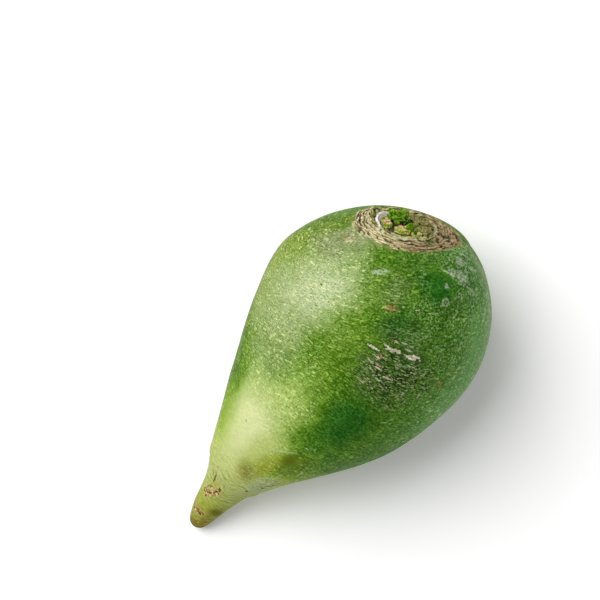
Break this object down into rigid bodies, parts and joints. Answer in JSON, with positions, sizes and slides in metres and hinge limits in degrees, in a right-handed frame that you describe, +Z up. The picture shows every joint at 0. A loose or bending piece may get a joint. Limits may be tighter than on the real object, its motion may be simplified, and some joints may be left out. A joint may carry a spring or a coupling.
{
  "type": "winter radish",
  "caption": "Whole green winter radish lying on its side: a round tapering root with a corky crown, cut leaf stalks and young leaves at one end and a short hooked tail at the other.",
  "frame": {"origin": "middle of the bounding box, on the surface that the radish lies on", "axes": "+X from the tail towards the crown, +Y to the left of the crown, +Z up"},
  "size_m": [0.1584, 0.0904, 0.089],
  "materials": {
    "root_skin": "waxy green skin with fine pale dashes, a pale yellow-green waist, a brown corky crown and a yellow-green tail",
    "dry_sheath": "thin papery off-white leaf sheath",
    "cut_stalk": "green leaf stalk with a dried tan cut face",
    "old_leaf_base": "shrivelled olive-brown leaf base, dull and rough",
    "young_leaf": "bright green ruffled leaf, slightly glossy and translucent"
  },
  "bodies": {
    "root": {"root": "root_skin", "papery_sheath": "dry_sheath", "leaf_stalk_left": "cut_stalk", "leaf_stalk_front": "cut_stalk", "leaf_stalk_low": "cut_stalk", "leaf_stalk_back": "cut_stalk", "old_base_upper": "old_leaf_base", "old_base_right": "old_leaf_base", "old_base_rear": "old_leaf_base", "young_leaf_1": "young_leaf", "young_leaf_2": "young_leaf", "young_leaf_3": "young_leaf", "young_leaf_4": "young_leaf", "young_leaf_5": "young_leaf", "young_leaf_6": "young_leaf", "bud_leaf_1": "young_leaf", "bud_leaf_2": "young_leaf", "bud_leaf_3": "young_leaf"}
  },
  "joints": []
}
